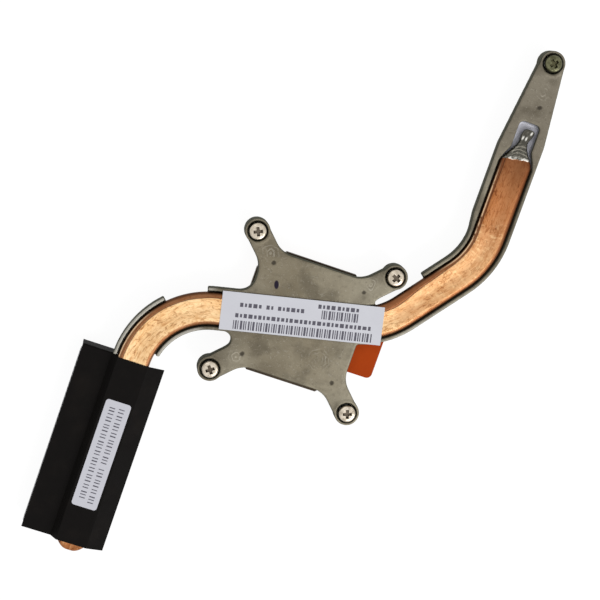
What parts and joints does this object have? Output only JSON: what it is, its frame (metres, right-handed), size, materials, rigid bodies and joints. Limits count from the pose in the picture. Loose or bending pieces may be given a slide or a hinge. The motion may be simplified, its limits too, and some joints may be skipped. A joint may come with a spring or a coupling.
{
  "type": "laptop heatsink",
  "caption": "Flat laptop heatsink: cast bracket with sprung captive screws, a bent flattened copper heat pipe and a film-covered fin pack that takes a fan's air.",
  "frame": {"origin": "middle of the square of processor screws, in the plane of the contact face", "axes": "+X along one side of the screw square, away from the fin pack; +Y along the arm that carries the fifth screw; +Z away from the circuit board"},
  "size_m": [0.1208, 0.2057, 0.0123],
  "materials": {
    "cast_metal": "as cast, satin, warm grey",
    "copper_pipe": "bare drawn copper, brushed along its length",
    "copper_plate": "bare stamped copper, tarnished edges",
    "fin_sheet": "bare folded sheet",
    "film_black": "thin black film, satin",
    "label_white": "plain coated label",
    "liner_orange": "thin tinted liner",
    "pad_grey": "soft thermal pad",
    "screw_nickel": "bright nickel plate",
    "screw_olive": "dull olive passivated steel",
    "spring_steel": "drawn wire"
  },
  "bodies": {
    "heatsink": {"base_casting": "cast_metal", "heat_pipe": "copper_pipe", "cpu_contact_plate": "copper_plate", "cpu_thermal_pad": "pad_grey", "arm_thermal_pad": "pad_grey", "release_liner": "liner_orange", "fin_cover_film": "film_black", "plate_label": "label_white", "fin_label": "label_white", "fin_01": "fin_sheet", "fin_02": "fin_sheet", "fin_03": "fin_sheet", "fin_04": "fin_sheet", "fin_05": "fin_sheet", "fin_06": "fin_sheet", "fin_07": "fin_sheet", "fin_08": "fin_sheet", "fin_09": "fin_sheet", "fin_10": "fin_sheet", "fin_11": "fin_sheet", "fin_12": "fin_sheet", "fin_13": "fin_sheet", "fin_14": "fin_sheet", "fin_15": "fin_sheet", "fin_16": "fin_sheet", "fin_17": "fin_sheet", "fin_18": "fin_sheet", "fin_19": "fin_sheet", "fin_20": "fin_sheet", "fin_21": "fin_sheet", "fin_22": "fin_sheet", "fin_23": "fin_sheet", "fin_24": "fin_sheet", "fin_25": "fin_sheet", "fin_26": "fin_sheet", "fin_27": "fin_sheet", "fin_28": "fin_sheet", "fin_29": "fin_sheet", "fin_30": "fin_sheet", "fin_31": "fin_sheet", "fin_32": "fin_sheet", "fin_33": "fin_sheet", "fin_34": "fin_sheet", "screw_spring_1": "spring_steel", "screw_spring_2": "spring_steel", "screw_spring_3": "spring_steel", "screw_spring_4": "spring_steel", "screw_spring_5": "spring_steel"},
    "ring_body_1": {"retaining_ring_1": "spring_steel"},
    "screw_body_1": {"captive_screw_1": "screw_nickel"},
    "ring_body_2": {"retaining_ring_2": "spring_steel"},
    "screw_body_2": {"captive_screw_2": "screw_nickel"},
    "ring_body_3": {"retaining_ring_3": "spring_steel"},
    "screw_body_3": {"captive_screw_3": "screw_nickel"},
    "ring_body_4": {"retaining_ring_4": "spring_steel"},
    "screw_body_4": {"captive_screw_4": "screw_nickel"},
    "ring_body_5": {"retaining_ring_5": "spring_steel"},
    "screw_body_5": {"captive_screw_5": "screw_olive"}
  },
  "joints": [
    {"name": "screw_press_1", "type": "slide", "parent": "heatsink", "child": "ring_body_1", "axis": [0, 0, 1], "range_m": [-0.0022, 0], "stiffness_N_per_m": 800, "springref_m": 0.004, "deforming": ["screw_spring_1"]},
    {"name": "screw_turn_1", "type": "hinge", "parent": "ring_body_1", "child": "screw_body_1", "pos_m": [-0.0238, -0.0238, 0], "axis": [0, 0, 1], "continuous": true},
    {"name": "screw_press_2", "type": "slide", "parent": "heatsink", "child": "ring_body_2", "axis": [0, 0, 1], "range_m": [-0.0022, 0], "stiffness_N_per_m": 800, "springref_m": 0.004, "deforming": ["screw_spring_2"]},
    {"name": "screw_turn_2", "type": "hinge", "parent": "ring_body_2", "child": "screw_body_2", "pos_m": [0.0238, -0.0238, 0], "axis": [0, 0, 1], "continuous": true},
    {"name": "screw_press_3", "type": "slide", "parent": "heatsink", "child": "ring_body_3", "axis": [0, 0, 1], "range_m": [-0.0022, 0], "stiffness_N_per_m": 800, "springref_m": 0.004, "deforming": ["screw_spring_3"]},
    {"name": "screw_turn_3", "type": "hinge", "parent": "ring_body_3", "child": "screw_body_3", "pos_m": [0.0238, 0.0238, 0], "axis": [0, 0, 1], "continuous": true},
    {"name": "screw_press_4", "type": "slide", "parent": "heatsink", "child": "ring_body_4", "axis": [0, 0, 1], "range_m": [-0.0022, 0], "stiffness_N_per_m": 800, "springref_m": 0.004, "deforming": ["screw_spring_4"]},
    {"name": "screw_turn_4", "type": "hinge", "parent": "ring_body_4", "child": "screw_body_4", "pos_m": [-0.0238, 0.0238, 0], "axis": [0, 0, 1], "continuous": true},
    {"name": "screw_press_5", "type": "slide", "parent": "heatsink", "child": "ring_body_5", "axis": [0, 0, 1], "range_m": [-0.0022, 0], "stiffness_N_per_m": 800, "springref_m": 0.004, "deforming": ["screw_spring_5"]},
    {"name": "screw_turn_5", "type": "hinge", "parent": "ring_body_5", "child": "screw_body_5", "pos_m": [0.0486, 0.1056, 0], "axis": [0, 0, 1], "continuous": true}
  ]
}
